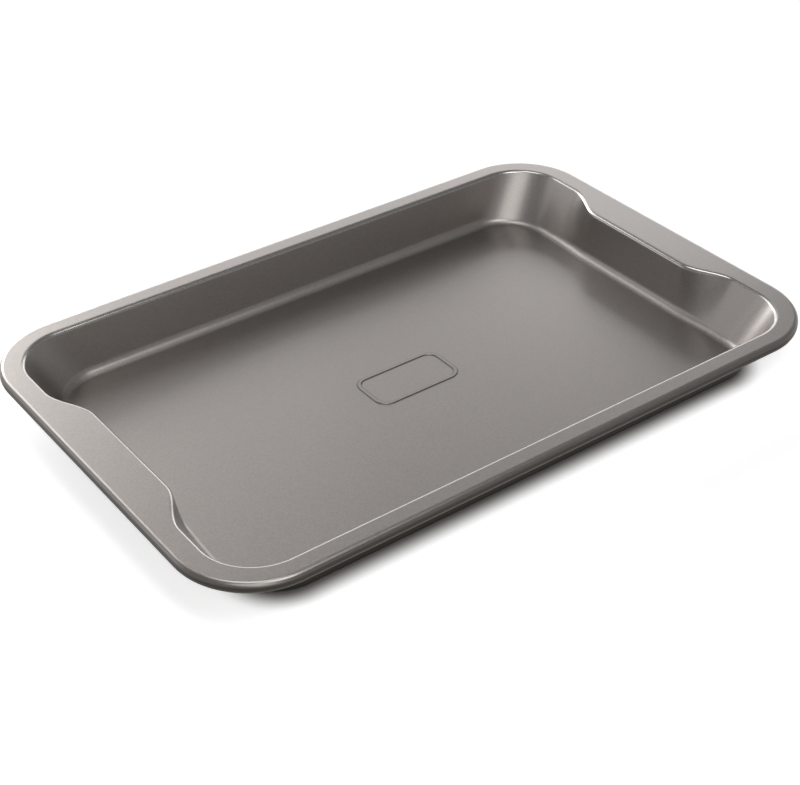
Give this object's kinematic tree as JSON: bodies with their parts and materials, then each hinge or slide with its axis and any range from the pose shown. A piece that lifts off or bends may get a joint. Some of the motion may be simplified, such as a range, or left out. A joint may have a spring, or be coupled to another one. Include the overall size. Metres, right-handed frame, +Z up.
{
  "type": "jelly roll pan",
  "caption": "Shallow rectangular metal baking tray with leaning walls, a wide flange that forms a handle at each short end, and a wired rolled rim.",
  "frame": {"origin": "under the middle of the floor, on the surface that the tray rests on", "axes": "+X along the tray's length from handle to handle, +Y along its width, +Z up out of the tray's mouth"},
  "size_m": [0.427, 0.2768, 0.033],
  "materials": {
    "coated_sheet": "warm grey metallic non-stick coating, satin, with a fine speckle",
    "wire_steel": "drawn steel wire, hidden inside the rolled rim"
  },
  "bodies": {
    "root": {"pan_body": "coated_sheet", "rim_wire": "wire_steel"}
  },
  "joints": []
}
